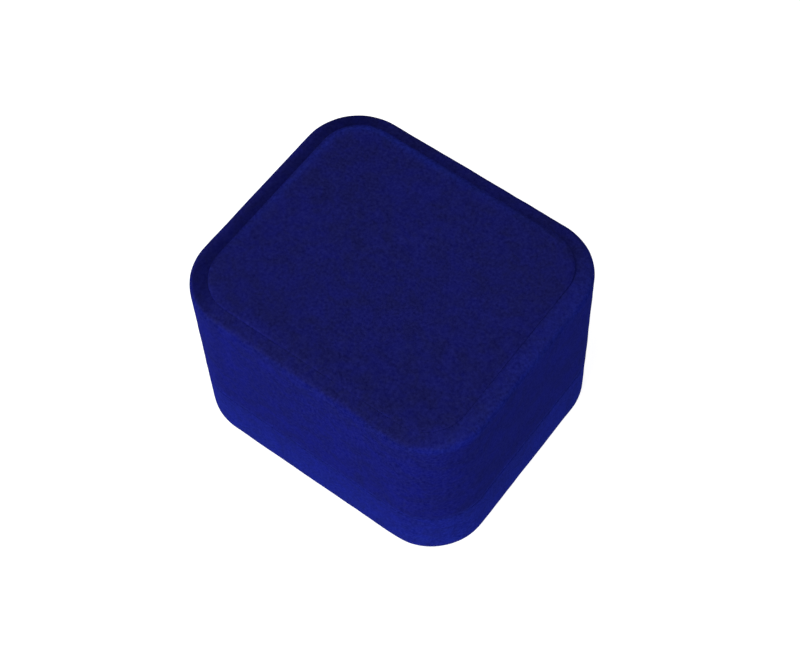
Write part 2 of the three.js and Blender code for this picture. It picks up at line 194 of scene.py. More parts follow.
def velvet(name, lighten=1.0):
    """Royal-blue flocked velvet: short pile with a fine grain and brushed patches, lighter where it is
    rubbed and where light is painted, darker where shade is painted.
    """
    n = Nodes(name)
    grain = n.noise(PILE_GRAIN_MM, 4.0, 0.7)
    mottle = n.noise(PILE_MOTTLE_MM, 3.0, 0.6, 0.4)
    nap = n.noise(PILE_NAP_MM, 3.0, 0.55, 1.2)
    patches = n.noise(PILE_PATCH_MM, 4.0, 0.7)
    wear_and_painted_light = n.attribute("wear_and_painted_light")
    colour = n.mix(n.ramp(grain, 0.24, 0.76), PILE_DEEP, PILE_LIGHT)
    brushed = n.math("ADD", n.ramp(mottle, 0.4, 0.6, 0.0, 0.55), n.ramp(nap, 0.4, 0.6, 0.0, 0.3))
    colour = n.mix(brushed, colour, PILE_BRUSHED, blend="ADD")
    # painted sheen: faces that look up are tinted paler
    colour = n.mix(n.ramp(n.upward(), LEVEL_FROM, LEVEL_TO), colour, PILE_TOP_SHEEN, blend="ADD")
    edge = n.math("MULTIPLY", wear_and_painted_light, n.ramp(patches, 0.25, 0.75, 0.35 * lighten, lighten))
    edge = n.math("MULTIPLY", edge, n.ramp(grain, 0.34, 0.66, 0.65, 1.35))
    # rubbed pile and painted light: lighter where the attribute is above 0
    colour = n.mix(edge, colour, PILE_WEAR_AND_PAINTED_LIGHT, blend="ADD")
    # painted shade: darker where the attribute is below 0
    colour = n.mix(n.math("MULTIPLY", wear_and_painted_light, -1.0), colour, PILE_PAINTED_SHADE)
    n.link(colour, "Base Color")
    n.link(n.ramp(grain, 0.2, 0.8, 0.86, 1.0), "Roughness")
    n.set(Specular_IOR_Level=0.0, Sheen_Weight=0.11, Sheen_Roughness=0.3, Sheen_Tint=PILE_SHEEN)
    n.bump(grain, 0.28, 0.12)
    return n.material


def satin(name):
    """Ivory satin: long fine threads along Y, with a soft gloss."""
    n = Nodes(name)
    threads = n.noise(0.16, 2.0, 0.5, 0.0, n.stretched(1.0, 0.08, 1.0))
    shade = n.noise(7.0, 3.0)
    colour = n.mix(n.ramp(threads, 0.3, 0.7), (0.46, 0.43, 0.37), (0.60, 0.57, 0.50))
    n.link(n.mix(n.ramp(shade, 0.3, 0.7, 0.0, 0.35), colour, (0.52, 0.48, 0.40)), "Base Color")
    n.link(n.ramp(threads, 0.2, 0.8, 0.26, 0.42), "Roughness")
    n.set(Specular_IOR_Level=0.55, Anisotropic=0.5)
    n.set(Sheen_Weight=0.25, Sheen_Roughness=0.3, Sheen_Tint=(1.0, 0.97, 0.9, 1.0))
    n.bump(threads, 0.18, 0.05)
    return n.material


def moulded_plastic(name):
    """Dark moulded plastic with a fine spark-eroded grain and slight scuffs."""
    n = Nodes(name)
    grain = n.noise(0.22, 3.0, 0.6)
    scuff = n.noise(5.0, 5.0, 0.7, 1.5)
    n.link(n.mix(n.ramp(scuff, 0.45, 0.8), (0.016, 0.017, 0.022), (0.045, 0.046, 0.052)), "Base Color")
    n.link(n.ramp(scuff, 0.3, 0.8, 0.38, 0.6), "Roughness")
    n.bump(grain, 0.25, 0.05)
    return n.material


def grey_board(name):
    """Grey board: pressed fibres in a warm grey, with darker flecks."""
    n = Nodes(name)
    fibres = n.noise(0.8, 6.0, 0.75, 0.6, n.stretched(1.0, 0.35, 1.0))
    flecks = n.noise(0.35, 2.0, 0.5)
    colour = n.mix(n.ramp(fibres, 0.3, 0.7), (0.33, 0.30, 0.24), (0.52, 0.48, 0.40))
    n.link(n.mix(n.ramp(flecks, 0.68, 0.74, 0.0, 0.7), colour, (0.16, 0.13, 0.10)), "Base Color")
    n.set(Roughness=0.92, Specular_IOR_Level=0.2)
    n.bump(fibres, 0.35, 0.08)
    return n.material


FOAM_CELL_MM = 0.55


def open_foam(name):
    """Cream foam: small open cells."""
    n = Nodes(name)
    inputs = {"Vector": n.place, "Scale": 1000.0 / FOAM_CELL_MM}
    cells = n.node("ShaderNodeTexVoronoi", inputs).outputs["Distance"]
    n.link(n.mix(n.ramp(cells, 0.1, 0.6), (0.38, 0.34, 0.26), (0.74, 0.70, 0.60)), "Base Color")
    n.set(Roughness=1.0, Specular_IOR_Level=0.1)
    n.bump(cells, 0.8, 0.25)
    return n.material


def plated_steel(name):
    """Nickel-plated pressed steel: fine rolling lines along X, dulled in places."""
    n = Nodes(name)
    lines = n.noise(0.10, 2.0, 0.5, 0.0, n.stretched(0.03, 1.0, 1.0))
    dull = n.noise(2.5, 4.0, 0.7, 1.0)
    n.link(n.mix(n.ramp(dull, 0.4, 0.8), (0.62, 0.61, 0.59), (0.40, 0.38, 0.35)), "Base Color")
    rough = n.math("ADD", n.ramp(dull, 0.3, 0.8, 0.22, 0.40), n.ramp(lines, 0.3, 0.7, 0.0, 0.10))
    n.link(rough, "Roughness")
    n.set(Metallic=1.0)
    n.bump(lines, 0.15, 0.02)
    return n.material


def pale_floor(name):
    """Pale ground that glows a little, so that it stays white behind the dark box."""
    n = Nodes(name)
    n.link(n.mix(n.noise(30.0, 2.0), (0.46, 0.46, 0.46), (0.50, 0.50, 0.50)), "Base Color")
    n.set(Roughness=0.9, Specular_IOR_Level=0.1)
    n.set(Emission_Strength=0.7, Emission_Color=(1.0, 1.0, 1.0, 1.0))
    return n.material


# ---------- cloth shapes ----------

LOOP_STEP = 0.75 * MM  # between the points round an outline


class Loop:
    """Points round a rounded rectangle, with outward normals. Several radii start at the +X +Y corner."""

    def __init__(self, low, high, radii, step=LOOP_STEP):
        radii = radii if isinstance(radii, tuple) else (radii,) * 4
        self.centre = Vector(((low.x + high.x) / 2, (low.y + high.y) / 2))
        self.places, self.normals = [], []
        half = (Vector((high.x, high.y)) - Vector((low.x, low.y))) / 2
        for quarter, radius in enumerate(radii):
            turn = quarter * math.pi / 2
            out = Vector((math.cos(turn), math.sin(turn)))
            along = Vector((-out.y, out.x))
            reach, side = (half.x, half.y) if quarter % 2 == 0 else (half.y, half.x)
            start, end = radii[quarter - 1] - side, side - radius
            count = max(2, round((end - start) / step))
            for i in range(count):
                self.add(out * reach + along * (start + (end - start) * i / count), out)
            corner = out * (reach - radius) + along * end
            count = max(6, round(radius * math.pi / 2 / step))
            for i in range(count):
                a = turn + i / count * math.pi / 2
                normal = Vector((math.cos(a), math.sin(a)))
                self.add(corner + normal * radius, normal)

    def add(self, place, normal):
        self.places.append(place + self.centre)
        self.normals.append(normal)

    def ring(self, inset, z):
        """The loop moved in by inset, at a height."""
        return [Vector((*(p - n * inset), z)) for p, n in zip(self.places, self.normals)]

    def shrunk(self, inset, z, share):
        """The loop moved in and then scaled to its centre by share, for the middle of a flat shape."""
        moved = [p - n * inset for p, n in zip(self.places, self.normals)]
        return [Vector((*((p - self.centre) * share + self.centre), z)) for p in moved]


def arc(centre, radius_in, radius_z, start, end, steps):
    """Points of a profile's round edge: (inset, z) pairs, with the angle measured from straight out."""
    made = []
    for i in range(steps + 1):
        a = math.radians(start + (end - start) * i / steps)
        made.append((centre[0] - radius_in * math.cos(a), centre[1] + radius_z * math.sin(a)))
    return made


def line(start, end, steps):
    """Points of a profile between two (inset, z) pairs, without the first."""
    return [tuple(a + (b - a) * i / steps for a, b in zip(start, end)) for i in range(1, steps + 1)]


def mesh_object(name, rings, closed_profile, capped=False):
    """Skin over rings of points. A closed profile makes a hollow ring, and a capped one a filled body."""
    bm = bmesh.new()
    rows = [[bm.verts.new(p) for p in ring] for ring in rings]
    count = len(rows[0])
    pairs = list(zip(rows, rows[1:]))
    if closed_profile:
        pairs.append((rows[-1], rows[0]))
    for lower, upper in pairs:
        for i in range(count):
            j = (i + 1) % count
            bm.faces.new((lower[i], lower[j], upper[j], upper[i]))
    if capped:
        for row in (rows[0], rows[-1]):
            middle = bm.verts.new(sum((vertex.co for vertex in row), Vector()) / count)
            for i in range(count):
                bm.faces.new((row[i], row[(i + 1) % count], middle))
    bmesh.ops.recalc_face_normals(bm, faces=bm.faces)
    return object_from(name, bm)


def object_from(name, bm):
    mesh = bpy.data.meshes.new(name)
    for face in bm.faces:
        face.smooth = True
    bm.to_mesh(mesh)
    bm.free()
    made = bpy.data.objects.new(name, mesh)
    bpy.context.scene.collection.objects.link(made)
    return made


def smoothstep(low, high, value):
    t = min(max((value - low) / (high - low), 0.0), 1.0)
    return t * t * (3 - 2 * t)


def paint_wear_and_light(piece, amount):
    """Vertex attribute for the velvet: above 0 it is lighter, for rubbed pile and for painted light; below 0
    it is darker, for painted shade.
    """
    layer = piece.data.attributes.new("wear_and_painted_light", "FLOAT", "POINT")
    for vertex, item in zip(piece.data.vertices, layer.data):
        item.value = amount(vertex.co)


FINE_WAVE = 0.37  # size of the second, smaller wave, as a share of the first


def undulate(piece, amplitude, size, keep):
    """Slight unevenness of glued cloth. keep says how much of it each point takes."""
    for vertex in piece.data.vertices:
        amount = keep(vertex.co)
        if amount > 0:
            wave = noise.noise(vertex.co / size) + 0.5 * noise.noise(vertex.co / (size * FINE_WAVE))
            vertex.co += vertex.normal * (amplitude * wave * amount)
    piece.data.update()


def finished(piece, body, material, slot, *nodes):
    """Material and body of a piece, and the CAD nodes that it replaces. The slot is not used."""
    piece.data.materials.append(material)
    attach(piece, body)
    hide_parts(*nodes)


# ---------- room for the hinge ----------


def hinge_lift(x, y):
    """How far the cloth's edge keeps back from the seam: a bevel behind the axis, and the barrel's notch."""
    bevel = max(0.0, y - HINGE_Y) * BEVEL_SLOPE
    span = BARREL_ROOM**2 - (y - HINGE_Y) ** 2
    gap = (LID_LOW.z - BASE_HIGH.z) / 2
    notch = max(0.0, math.sqrt(max(span, 0.0)) - gap)
    notch *= 1 - smoothstep(NOTCH_HALF, NOTCH_HALF + NOTCH_END, abs(x))
    return max(bevel, notch)


HINGE_REACH = 5 * MM  # the wall is squeezed over this height beside the seam


def clear_hinge(piece, edge_z, side):
    """Draws the cloth's seam edge back at the hinge, and squeezes the wall beyond it."""
    for vertex in piece.data.vertices:
        away = side * (vertex.co.z - edge_z)
        if away < HINGE_REACH:
            share = 1 - max(away, 0) / HINGE_REACH
            vertex.co.z += side * hinge_lift(vertex.co.x, vertex.co.y) * share
    piece.data.update()


def lean(ring_z):
    return LID_LEAN * (ring_z - SEAM_Z) / (LID_HIGH.z - SEAM_Z)


# ---------- outside of the case ----------

LIP_ROUND = 0.28 * MM
LIP_CLOSE = 0.10 * MM  # each lip's pile stands this far into the seam
RIM_ROUND = 1.2 * MM
RIM_FALL = 0.28 * MM  # the fold slopes down this far from the panel to the rim's outer edge
RIM_CREST = 0.6  # share of the fold's width at which that slope starts
FOOT_ROUND = 0.9 * MM
EDGE_STEPS = 6
INNER_CUT = 0.3 * MM  # the cloth's inner face cuts its rounded corners by this much
WALL_WAVE, WALL_WAVE_SIZE = 0.06 * MM, 6 * MM  # unevenness of the glued strips
WALL_ROWS = 30  # of the lid's strip
FOOT_ROWS = 12  # of the base's


def lid_wrap_profile():
    """From the folded lower lip round the outside and over the rim, then back down inside the cloth."""
    low, high = LID_LOW.z - LIP_CLOSE, LID_HIGH.z
    profile = [(SHELL_INSIDE, low + CLOTH), (SHELL_INSIDE, low + LIP_ROUND)]
    profile += arc((SHELL_INSIDE - LIP_ROUND, low + LIP_ROUND), -LIP_ROUND, LIP_ROUND, 0, -90, 4)[1:]
    profile += arc((LIP_ROUND, low + LIP_ROUND), LIP_ROUND, LIP_ROUND, -90, 0, 5)
    shoulder = high - RIM_FALL
    profile += line((0, low + LIP_ROUND), (0, shoulder - RIM_ROUND), WALL_ROWS)
    profile += arc((RIM_ROUND, shoulder - RIM_ROUND), RIM_ROUND, RIM_ROUND, 0, 82, EDGE_STEPS)[1:]
    crest = (FOLD * RIM_CREST, high)
    profile += line(profile[-1], crest, 6)
    profile += line(crest, (FOLD, high), 3)
    profile += [(FOLD, high - CLOTH)]
    under = (RIM_ROUND + CLOTH - INNER_CUT, shoulder - CLOTH)
    beside = (CLOTH, shoulder - CLOTH - RIM_ROUND + INNER_CUT)
    profile += line((FOLD, high - CLOTH), under, 3)
    profile += line(under, beside, 2)
    profile += line(beside, (CLOTH, low + CLOTH), WALL_ROWS)
    return profile


def make_lid_wrap(material):
    loop = Loop(LID_LOW, LID_HIGH, CORNER)
    rings = [loop.ring(inset + lean(z), z) for inset, z in lid_wrap_profile()]
    piece = mesh_object("lid_velvet_strip", rings, closed_profile=True)
    clear_hinge(piece, LID_LOW.z, 1)
    undulate(piece, WALL_WAVE, WALL_WAVE_SIZE, outside_of(LID_HIGH.z))
    paint_wear_and_light(piece, lid_wear_and_light)
    finished(piece, "lid", material, "case_velvet", "lid_velvet_wrap")


def outside_of(top):
    """Share of unevenness: all of it on the outer skin, none on the cloth's inner face or its seam edges."""

    def keep(place):
        deep = depth_inside(place)
        if place.z > SEAM_Z:
            deep -= max(lean(place.z), 0)
        side = 1 - smoothstep(0.2 * MM, CLOTH, deep)
        over = smoothstep(top - 0.3 * MM, top - 0.05 * MM, place.z)
        edge = smoothstep(0.2 * MM, 2 * MM, abs(place.z - SEAM_Z))
        return max(side, over) * edge

    return keep


def depth_inside(place):
    """How far a point lies inside the upright outer face."""
    half_x, half_y = HALF_X - CORNER, HALF_Y - CORNER
    dx, dy = max(abs(place.x) - half_x, 0), max(abs(place.y) - half_y, 0)
    return CORNER - math.hypot(dx, dy) if dx or dy else min(HALF_X - abs(place.x), HALF_Y - abs(place.y))


def right_side(place):
    """0 left of the right corners' rounding, 1 at the right wall."""
    return smoothstep(HALF_X - CORNER, HALF_X, place.x)


def bell(value, middle, width):
    """1 at the middle, falling smoothly to 0 on both sides."""
    return math.exp(-(((value - middle) / width) ** 2))


# Amounts for the velvet's attribute: above 0 is lighter, below 0 is darker. The rim's all-round amount is
# rubbing; the others are painted highlight and painted shade.
RIM_WEAR, RIM_HIGHLIGHT_RIGHT, RIM_HIGHLIGHT_LEFT = 0.1, 0.4, 0.2
SEAM_HIGHLIGHT, RIM_PAINTED_SHADE = 0.3, 0.5
RIM_BAND_DEPTH, RIM_BAND_WIDTH = 0.8 * MM, 0.9 * MM
SEAM_HIGHLIGHT_WIDTH = 0.6 * MM


def lid_wear_and_light(place):
    """Rubbed a little lighter along the rim's outer edge all round; painted highlight there at the right and
    the left and over the right rim's top, painted highlight along the lower lip at the seam, and painted
    shade over the left rim's flat top.
    """
    right = right_side(place)
    left = 1 - smoothstep(FOLD - HALF_X - 1 * MM, CORNER - HALF_X, place.x)
    flat = smoothstep(LID_HIGH.z - 0.7 * MM, LID_HIGH.z - 0.3 * MM, place.z)
    # rim band: rubbed a little lighter all round, plus painted highlight at the right, over the right rim's
    # flat top and at the left
    rim = bell(place.z, LID_HIGH.z - RIM_BAND_DEPTH, RIM_BAND_WIDTH)
    rim *= (RIM_WEAR + RIM_HIGHLIGHT_RIGHT * right + RIM_HIGHLIGHT_LEFT * left) * (1 - flat * (1 - right))
    # painted shade over the left rim's flat top
    painted_shade = flat * left * smoothstep(0.6 * MM, 2.4 * MM, place.x + HALF_X)
    # painted highlight along the lower lip beside the seam
    return rim + SEAM_HIGHLIGHT * bell(place.z, LID_LOW.z, SEAM_HIGHLIGHT_WIDTH) - RIM_PAINTED_SHADE * painted_shade


def base_wrap_profile():
    """From the fold under the base round its foot and up to the seam's lip, then back inside the cloth."""
    low, high = BASE_LOW.z, BASE_HIGH.z + LIP_CLOSE
    profile = [(FOLD, low + CLOTH), (FOLD, low)]
    profile += line((FOLD, low), (FOOT_ROUND, low), 4)
    profile += arc((FOOT_ROUND, low + FOOT_ROUND), FOOT_ROUND, FOOT_ROUND, -90, 0, EDGE_STEPS)[1:]
    profile += line((0, low + FOOT_ROUND), (0, high - LIP_ROUND), FOOT_ROWS)
    profile += arc((LIP_ROUND, high - LIP_ROUND), LIP_ROUND, LIP_ROUND, 0, 90, 5)[1:]
    profile += arc((SHELL_INSIDE - LIP_ROUND, high - LIP_ROUND), -LIP_ROUND, LIP_ROUND, 90, 0, 4)
    profile += [(SHELL_INSIDE, high - CLOTH)]
    profile += line((SHELL_INSIDE, high - CLOTH), (CLOTH, high - CLOTH), 2)
    profile += line((CLOTH, high - CLOTH), (CLOTH, low + FOOT_ROUND + INNER_CUT), FOOT_ROWS - 2)
    profile += line((CLOTH, low + FOOT_ROUND + INNER_CUT), (FOOT_ROUND + INNER_CUT, low + CLOTH), 2)
    return profile


def make_base_wrap(material):
    loop = Loop(BASE_LOW, BASE_HIGH, CORNER)
    rings = [loop.ring(inset, z) for inset, z in base_wrap_profile()]
    piece = mesh_object("base_velvet_strip", rings, closed_profile=True)
    clear_hinge(piece, BASE_HIGH.z, -1)
    undulate(piece, WALL_WAVE, WALL_WAVE_SIZE, outside_of(LID_HIGH.z))
    paint_wear_and_light(piece, base_painted_light)
    finished(piece, "base", material, "case_velvet", "base_velvet_wrap")


# painted light on the base strip
BASE_PAINTED_LIGHT, BASE_PAINTED_LIGHT_RIGHT, BASE_PAINTED_LIGHT_FOOT = 0.3, 0.2, 0.25


def base_painted_light(place):
    """Painted light on the low strip: lighter all over, more toward its foot and at the right."""
    foot = 1 - smoothstep(BASE_LOW.z, BASE_HIGH.z, place.z)
    return BASE_PAINTED_LIGHT + BASE_PAINTED_LIGHT_RIGHT * right_side(place) + BASE_PAINTED_LIGHT_FOOT * foot


PANEL_CORNER = 7.6 * MM
PANEL_ROUND_IN = 2.0 * MM  # the padding rounds the panel's edge over this width
PANEL_FOOT = 0.35  # share of the panel's height where its edge stands upright
PANEL_CROWN = 0.10 * MM
PANEL_LOW_EDGE = 0.3  # height of the panel at its lowest corner, as a share of the highest
PANEL_RAISE = 0.02 * MM  # its underside keeps this far off the rim
PANEL_ROWS = 34
PANEL_WAVE, PANEL_WAVE_SIZE = 0.05 * MM, 7 * MM
# painted highlight along the panel's edge
PANEL_HIGHLIGHT, PANEL_HIGHLIGHT_BACK = 0.5, 0.3
PANEL_HIGHLIGHT_IN, PANEL_HIGHLIGHT_WIDTH = 0.9 * MM, 0.8 * MM  # how far in from its edge, and how wide


def toward_back_left(place):
    """From -1 at the panel's front right corner to 1 at its back left one."""
    return (place.y / PANEL_HIGH.y - place.x / PANEL_HIGH.x) / 2


def panel_share(place):
    """The panel is glued on a little out of level: lowest at the front right, highest at the back left."""
    return PANEL_LOW_EDGE + (1 - PANEL_LOW_EDGE) * smoothstep(-0.7, 0.8, toward_back_left(place))


def make_top_panel(material):
    """The padded panel on the lid: its edge is rounded by the padding, and its middle crowns a little."""
    low, high = PANEL_LOW.z + PANEL_RAISE, PANEL_HIGH.z
    shoulder = high - PANEL_CROWN
    cut = low + PANEL_FOOT * (shoulder - low)
    loop = Loop(PANEL_LOW, PANEL_HIGH, PANEL_CORNER)
    rings = [loop.shrunk(1.5 * MM, low, s) for s in (0.25, 0.6, 0.9)]
    rings += [loop.ring(inset, low) for inset in (1.0 * MM, 0.5 * MM, 0.1 * MM)]
    edge = arc((PANEL_ROUND_IN, cut), PANEL_ROUND_IN, shoulder - cut, 0, 90, 14)
    rings += [loop.ring(inset, z) for inset, z in edge]
    for i in range(1, PANEL_ROWS):
        share = 1 - i / PANEL_ROWS
        crown = PANEL_CROWN * (1 - share**2)
        rings.append(loop.shrunk(PANEL_ROUND_IN, shoulder + crown, share))
    piece = mesh_object("lid_top_panel", rings, closed_profile=False, capped=True)
    for vertex in piece.data.vertices:
        vertex.co.z = low + (vertex.co.z - low) * panel_share(vertex.co)
    piece.data.update()
    undulate(piece, PANEL_WAVE, PANEL_WAVE_SIZE, lambda p: smoothstep(low, shoulder, p.z))
    paint_wear_and_light(piece, panel_painted_highlight)
    finished(piece, "lid", material, "case_velvet", "lid_top_velvet")


def panel_painted_highlight(place):
    """Painted highlight along the panel's rounded edge where it stands highest, at the back and the left."""
    inner = Vector((PANEL_HIGH.x - PANEL_CORNER, PANEL_HIGH.y - PANEL_CORNER))
    dx, dy = max(abs(place.x) - inner.x, 0), max(abs(place.y) - inner.y, 0)
    near = PANEL_CORNER - math.hypot(dx, dy)
    far = smoothstep(-0.1, 0.8, toward_back_left(place))
    back = smoothstep(0.5, 1.0, place.y / PANEL_HIGH.y)
    return (PANEL_HIGHLIGHT + PANEL_HIGHLIGHT_BACK * back) * far * bell(near, PANEL_HIGHLIGHT_IN, PANEL_HIGHLIGHT_WIDTH)


UNDERSIDE_WEAR = 0.1


def make_bottom_cover(material):
    """The sheet on the underside, with cut edges that are slightly rounded."""
    low, high = COVER_LOW.z, COVER_HIGH.z
    loop = Loop(COVER_LOW, COVER_HIGH, CORNER - FOLD, 1.2 * MM)
    rings = [loop.shrunk(0.3 * MM, low, s) for s in (0.3, 0.6, 0.85)]
    edge = [(0.3 * MM, low), (0.08 * MM, low + 0.08 * MM), (0, low + 0.3 * MM)]
    edge += [(0, high - 0.2 * MM), (0.15 * MM, high)]
    rings += [loop.ring(inset, z) for inset, z in edge]
    rings += [loop.shrunk(0.3 * MM, high, s) for s in (0.9, 0.5)]
    piece = mesh_object("base_underside_sheet", rings, closed_profile=False, capped=True)
    paint_wear_and_light(piece, lambda p: UNDERSIDE_WEAR)
    finished(piece, "base", material, "case_velvet", "base_bottom_cover")


# ---------- ring insert and collar ----------

COLLAR_INSET = 2.75 * MM
COLLAR_WIDTH = 2.0 * MM  # over the card and both skins
COLLAR_SKIN = 0.5 * MM
COLLAR_WEAR = 0.4


def make_collar(material):
    """Velvet over both faces of the collar's card, rounded over its top edge."""
    loop = Loop(COLLAR_LOW, COLLAR_HIGH, CORNER - COLLAR_INSET)
    low, high = COLLAR_LOW.z, COLLAR_HIGH.z
    half = COLLAR_WIDTH / 2
    rise = half * 0.8
    card_top = high - COLLAR_SKIN - 0.05 * MM
    profile = [(0, low)] + line((0, low), (0, high - rise), 6)
    profile += arc((half, high - rise), half, rise, 0, 180, 10)[1:]
    profile += line((COLLAR_WIDTH, high - rise), (COLLAR_WIDTH, low), 6)
    profile += [(COLLAR_WIDTH - COLLAR_SKIN, z) for z in (low, card_top)]
    profile += [(COLLAR_SKIN, z) for z in (card_top, low)]
    rings = [loop.ring(inset, z) for inset, z in profile]
    piece = mesh_object("collar_cover", rings, closed_profile=True)
    paint_wear_and_light(piece, lambda p: COLLAR_WEAR * smoothstep(high - 0.8 * MM, high, p.z))
    finished(piece, "base", material, "insert_velvet", "collar_velvet")


# Cloth is simulated this many times larger, because Blender's solver is made for larger things.
SIM_SCALE = 20.0
SIM_FRAMES = 20
SIM_PRESSURE = 0.4
SIM_STIFFNESS = 15.0


def simulate(piece, pinned, shrink=0.0):
    """Runs the cloth solver and leaves its result in the mesh. pinned gives each point's hold, 0 to 1."""
    scene = bpy.context.scene
    group = piece.vertex_groups.new(name="held")
    for vertex in piece.data.vertices:
        group.add([vertex.index], pinned(vertex.co), "REPLACE")
    for vertex in piece.data.vertices:
        vertex.co *= SIM_SCALE
    cloth = piece.modifiers.new("cloth", "CLOTH")
    settings = cloth.settings
    settings.quality = 6
    settings.mass = 0.3
    settings.vertex_group_mass = "held"
    settings.tension_stiffness = SIM_STIFFNESS
    settings.compression_stiffness = SIM_STIFFNESS
    settings.bending_stiffness = 0.4
    settings.shrink_min = shrink
    settings.use_pressure = True
    settings.uniform_pressure_force = SIM_PRESSURE
    settings.effector_weights.gravity = 0.0
    cloth.collision_settings.use_collision = False
    cloth.point_cache.frame_start, cloth.point_cache.frame_end = 1, SIM_FRAMES
    for step in range(1, SIM_FRAMES + 1):
        scene.frame_set(step)
    shape = piece.evaluated_get(bpy.context.evaluated_depsgraph_get()).to_mesh()
    places = [v.co / SIM_SCALE for v in shape.vertices]
    piece.modifiers.remove(cloth)
    piece.vertex_groups.clear()
    for vertex, place in zip(piece.data.vertices, places):
        vertex.co = place
    piece.data.update()
    scene.frame_set(1)


def cap_travel(piece, rest, most):
    """No point of a simulated piece may move further than most from where it was."""
    for vertex, start in zip(piece.data.vertices, rest):
        step = vertex.co - start
        if step.length > most:
            vertex.co = start + step * (most / step.length)


COVER_SPARE = 0.2 * MM  # between a cover's skin and the block in it
TOUCHING = 1e-7  # below this distance the way out is the block's own normal


def keep_over(piece, node, part):
    """Part of a cloth cover, chosen by part, stays clear of the block that it covers."""
    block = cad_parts[node].data
    faces = [face.vertices[:] for face in block.polygons]
    tree = BVHTree.FromPolygons([vertex.co for vertex in block.vertices], faces)
    for vertex in piece.data.vertices:
        if not part(vertex.co):
            continue
        place, normal, _, distance = tree.find_nearest(vertex.co)
        within = (vertex.co - place).dot(normal) < 0
        if within or distance < COVER_SPARE:
            away = (place - vertex.co if within else vertex.co - place) / max(distance, 1e-9)
            vertex.co = place + (away if distance > TOUCHING else normal) * COVER_SPARE
    piece.data.update()


PAD_EDGE = 2.5 * MM  # rounding of its upper edge
PAD_SLOT_CORNER = 3.6 * MM  # plan radius of the corners at the ring slot
PAD_WALL_CORNER = 5.9 * MM  # and of those at the collar
PAD_INSET, PAD_DROP = 0.15 * MM, 0.25 * MM  # the start shape is this much smaller at the sides and the top
PAD_STEP = 0.6 * MM
PAD_FOOT = 0.3 * MM
PAD_TRAVEL, PAD_PROUD = 0.8 * MM, 0.4 * MM
PAD_WAVE, PAD_WAVE_SIZE = 0.05 * MM, 5 * MM
PAD_WEAR = 0.25


def make_ring_pad(node, foam, name, material):
    """Velvet over a foam block: a full roll that crowns in the middle and pulls in at its four corners."""
    low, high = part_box(node)
    top, shoulder = high.z - PAD_DROP, high.z - PAD_DROP - PAD_EDGE
    foot = low.z + PAD_FOOT
    radii = (PAD_SLOT_CORNER, PAD_SLOT_CORNER, PAD_WALL_CORNER, PAD_WALL_CORNER)
    loop = Loop(low, high, radii if (low.y + high.y) < 0 else radii[::-1], PAD_STEP)
    rings = [loop.shrunk(1.0 * MM, low.z, s) for s in (0.3, 0.6, 0.9)]
    rings += [loop.ring(0.5 * MM, low.z), loop.ring(0.2 * MM, foot)]
    profile = line((PAD_INSET, foot), (PAD_INSET, shoulder), 11)
    profile += arc((PAD_EDGE + PAD_INSET, shoulder), PAD_EDGE, PAD_EDGE, 0, 84, 9)[1:]
    rings += [loop.ring(inset, z) for inset, z in profile]
    rings += [loop.shrunk(PAD_EDGE + PAD_INSET + 0.4 * MM, top, 1 - i / 12) for i in range(12)]
    piece = mesh_object(name, rings, closed_profile=False, capped=True)
    rest = [vertex.co.copy() for vertex in piece.data.vertices]
    simulate(piece, lambda p: 1 - smoothstep(low.z + 3 * MM, high.z - 3 * MM, p.z))
    cap_travel(piece, rest, PAD_TRAVEL)
    keep_inside(piece, low, high, PAD_PROUD)
    undulate(piece, PAD_WAVE, PAD_WAVE_SIZE, lambda p: smoothstep(low.z + 4 * MM, high.z - 1 * MM, p.z))
    keep_over(piece, foam, lambda p: p.z > low.z + 0.5 * MM)
    paint_wear_and_light(piece, lambda p: PAD_WEAR * smoothstep(high.z - 3 * MM, high.z - 1 * MM, p.z))
    finished(piece, "base", material, "insert_velvet", node)


def keep_inside(piece, low, high, proud):
    """Holds a simulated piece inside its CAD solid's sides, and lets its top stand proud."""
    for vertex in piece.data.vertices:
        vertex.co.x = min(max(vertex.co.x, low.x), high.x)
        vertex.co.y = min(max(vertex.co.y, low.y), high.y)
        vertex.co.z = min(max(vertex.co.z, low.z), high.z + proud)


# ---------- satin lining ----------

SATIN_STEP = 0.6 * MM
SATIN_ROWS = 34
SATIN_GAP = 0.05 * MM  # between the satin's edge and its CAD solid's side
SATIN_EDGE = 1.1 * MM  # width and height of its rounded edge
SATIN_ROUND = 0.6 * MM  # how far that edge bulges down, below which the satin sags by SATIN_SAG
SATIN_SAG = 0.3 * MM
SATIN_SHOULDER = 0.5 * MM  # between the eight rows over which it sags
SATIN_SHRINK = -0.05  # the satin is cut this much too full, so it puckers
SATIN_TRAVEL = 1.4 * MM


